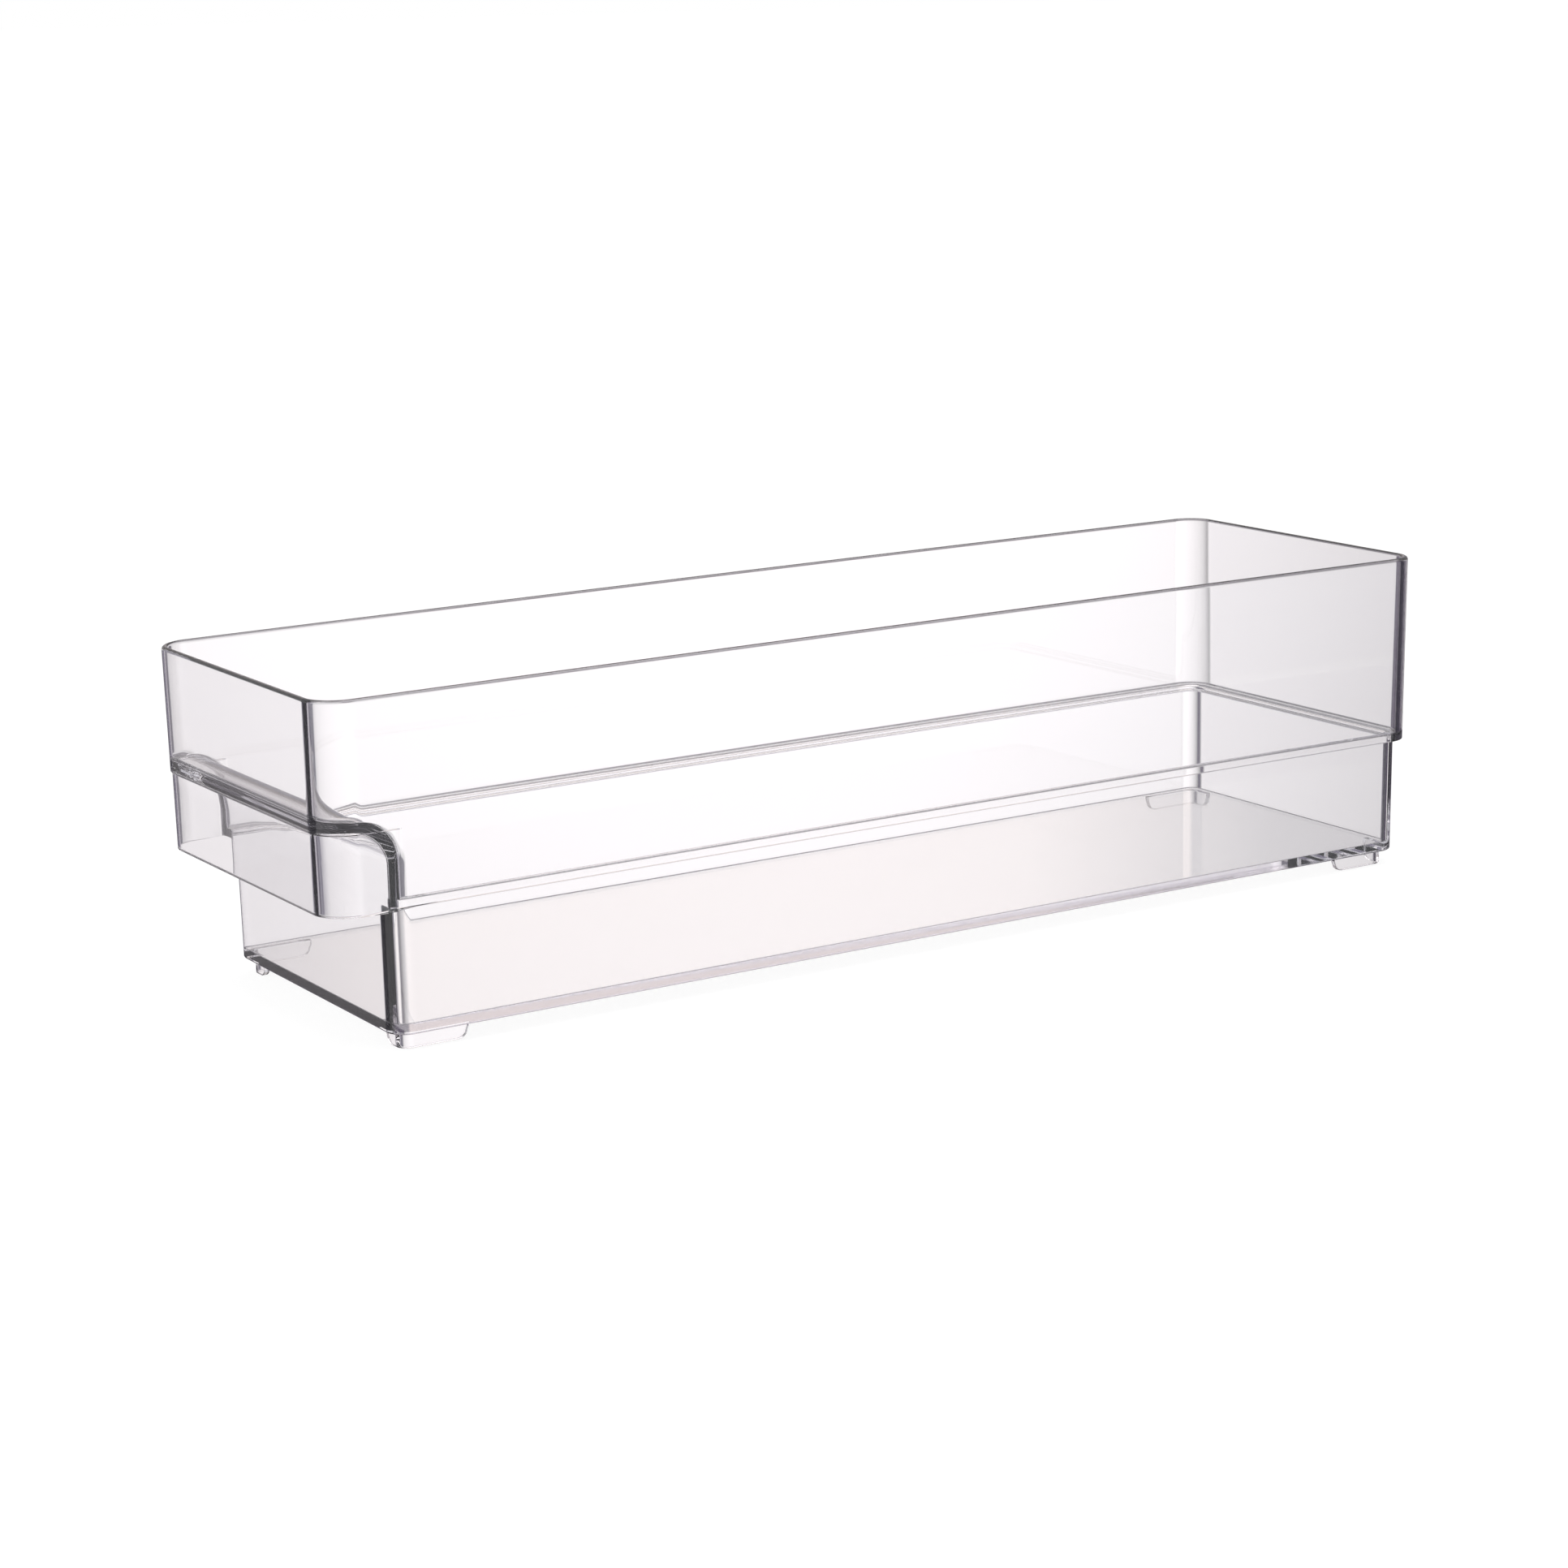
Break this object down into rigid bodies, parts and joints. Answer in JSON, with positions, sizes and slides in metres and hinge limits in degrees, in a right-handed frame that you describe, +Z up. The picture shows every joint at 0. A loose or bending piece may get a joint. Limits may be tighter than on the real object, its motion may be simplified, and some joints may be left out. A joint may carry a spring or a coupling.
{
  "type": "refrigerator drawer organizer",
  "caption": "Clear plastic refrigerator organizer: a long stepped open tray with a front finger pull and short corner feet.",
  "frame": {"origin": "on the surface the feet stand on, under the centre of the rim", "axes": "+Z up, +Y from the finger pull to the rear end, +X to the right as seen from the pull's end"},
  "size_m": [0.11, 0.37, 0.097],
  "materials": {
    "upper_walls": "clear, polished",
    "ledge": "clear, polished",
    "lower_walls": "clear, polished",
    "floor_panel": "clear, faintly clouded",
    "handle_skirt": "clear, polished",
    "handle_shelf": "clear, polished",
    "feet": "clear, polished"
  },
  "bodies": {
    "root": {"upper_walls": "upper_walls", "ledge": "ledge", "lower_walls": "lower_walls", "floor_panel": "floor_panel", "handle_skirt": "handle_skirt", "handle_shelf": "handle_shelf", "foot_front_left": "feet", "foot_front_right": "feet", "foot_rear_left": "feet", "foot_rear_right": "feet"}
  },
  "joints": []
}
